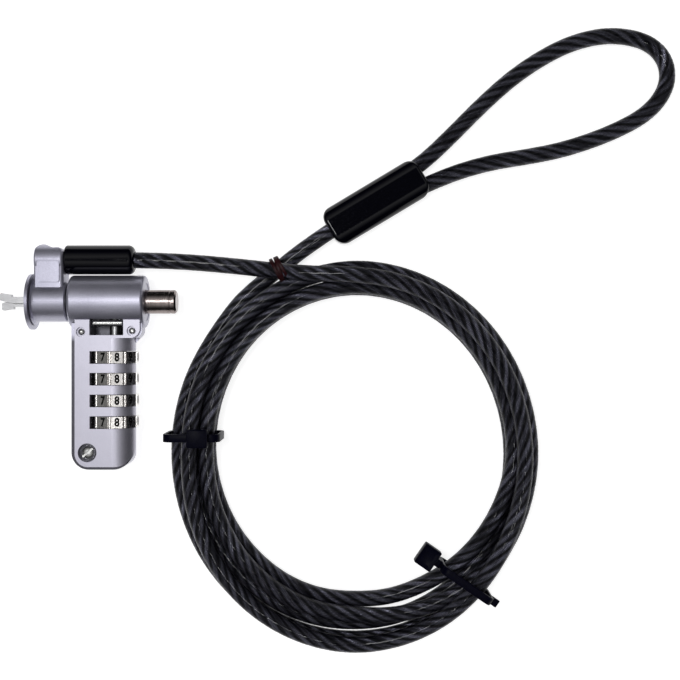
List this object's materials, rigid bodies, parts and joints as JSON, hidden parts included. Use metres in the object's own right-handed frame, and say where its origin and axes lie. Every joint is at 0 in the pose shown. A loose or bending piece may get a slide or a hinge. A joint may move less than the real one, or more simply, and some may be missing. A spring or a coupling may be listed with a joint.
{
  "type": "laptop cable lock",
  "caption": "Laptop cable lock: numbered dials on a swivelling collar, push button, hooked claws and a coiled steel cable with an end loop.",
  "frame": {"origin": "bottom centre of the lock's own box, without the free cable: the lock lies on its back", "axes": "+X along the barrel towards the push button, +Y from the handle's foot to the collar's lug, +Z out of the front face"},
  "size_m": [0.1881, 0.1746, 0.0172],
  "materials": {
    "lock_paint": "silver-lilac metallic paint on a zinc casting",
    "cover_paint": "silver-lilac metallic paint, finer and brighter, on the pressed front cover",
    "gloss_black": "moulded glossy black PVC",
    "cable_cover": "smoked clear PVC over twisted steel strands",
    "tie_black": "moulded black nylon",
    "tie_red": "thin dark red-brown nylon",
    "nylon_black": "black nylon washer",
    "seal_rubber": "black seal rubber",
    "steel": "turned steel",
    "bright_steel": "bright nickel-plated steel",
    "spring_steel": "spring steel wire and strip",
    "button_chrome": "polished chrome with a warm cast",
    "dial_nickel": "nickel-plated dial faces with black digits",
    "brass": "turned brass",
    "alloy": "pressed aluminium crimp"
  },
  "bodies": {
    "collar": {"swivel_collar": "lock_paint", "cable_end_stud": "steel", "stud_pin": "steel", "cable_boot": "gloss_black", "cable_lead": "cable_cover", "cable_coil": "cable_cover", "cable_tail": "cable_cover", "cable_eye": "cable_cover", "loop_sleeve": "gloss_black", "loop_ferrule": "alloy", "coil_tie_left": "tie_black", "coil_tie_right": "tie_black", "crossing_tie": "tie_red"},
    "lock_body": {"lock_housing": "lock_paint", "front_cover": "cover_paint", "cover_rivets": "bright_steel", "nose_tube": "steel", "nose_flange": "lock_paint", "swivel_washer": "nylon_black", "claw_pivot_pin": "steel", "nose_retaining_pin": "steel", "barrel_end_ring": "lock_paint", "button_seal_ring": "seal_rubber", "detent_spring": "spring_steel", "plunger_spring": "spring_steel", "spindle_spring": "spring_steel", "spring_plug": "steel"},
    "plunger": {"push_button": "button_chrome", "plunger_core": "steel"},
    "claw_upper_body": {"claw_upper": "steel"},
    "claw_lower_body": {"claw_lower": "steel"},
    "spindle": {"locking_spindle": "steel", "gate_fins": "steel", "crosshead_pin": "bright_steel"},
    "reset": {"reset_screw": "bright_steel", "reset_cam": "brass"},
    "dial_1": {"dial_ring_1": "dial_nickel", "dial_sleeve_1": "brass"},
    "dial_2": {"dial_ring_2": "dial_nickel", "dial_sleeve_2": "brass"},
    "dial_3": {"dial_ring_3": "dial_nickel", "dial_sleeve_3": "brass"},
    "dial_4": {"dial_ring_4": "dial_nickel", "dial_sleeve_4": "brass"}
  },
  "joints": [
    {"name": "collar_swivel", "type": "hinge", "parent": "collar", "child": "lock_body", "pos_m": [-0.0103, 0.015, 0.0078], "axis": [1, 0, 0], "range_deg": [-110, 0]},
    {"name": "button_press", "type": "slide", "parent": "lock_body", "child": "plunger", "axis": [-1, 0, 0], "range_m": [0, 0.004], "stiffness_N_per_m": 250, "springref_m": -0.002, "deforming": ["plunger_spring"]},
    {"name": "claw_upper_close", "type": "hinge", "parent": "lock_body", "child": "claw_upper_body", "pos_m": [-0.011, 0.015, 0.0078], "axis": [0, 0, 1], "range_deg": [0, 3.95]},
    {"name": "claw_lower_close", "type": "hinge", "parent": "lock_body", "child": "claw_lower_body", "pos_m": [-0.011, 0.015, 0.0078], "axis": [0, 0, -1], "range_deg": [0, 3.95]},
    {"name": "spindle_slide", "type": "slide", "parent": "lock_body", "child": "spindle", "axis": [0, -1, 0], "range_m": [0, 0.0013], "deforming": ["spindle_spring"]},
    {"name": "reset_turn", "type": "hinge", "parent": "lock_body", "child": "reset", "pos_m": [0.00065, -0.0262, 0.012], "axis": [0, 0, 1], "range_deg": [0, 90]},
    {"name": "dial_1_turn", "type": "hinge", "parent": "lock_body", "child": "dial_1", "pos_m": [0.00715, -0.0003, 0.0078], "axis": [0, 1, 0], "continuous": true},
    {"name": "dial_2_turn", "type": "hinge", "parent": "lock_body", "child": "dial_2", "pos_m": [0.00715, -0.0062, 0.0078], "axis": [0, 1, 0], "continuous": true},
    {"name": "dial_3_turn", "type": "hinge", "parent": "lock_body", "child": "dial_3", "pos_m": [0.00715, -0.0121, 0.0078], "axis": [0, 1, 0], "continuous": true},
    {"name": "dial_4_turn", "type": "hinge", "parent": "lock_body", "child": "dial_4", "pos_m": [0.00715, -0.018, 0.0078], "axis": [0, 1, 0], "continuous": true}
  ],
  "couplings": [
    {"joint": "claw_upper_close", "follows": "button_press", "rad_per_m": 17.017},
    {"joint": "claw_lower_close", "follows": "button_press", "rad_per_m": 17.017},
    {"joint": "spindle_slide", "follows": "button_press", "ratio": 0.325}
  ]
}
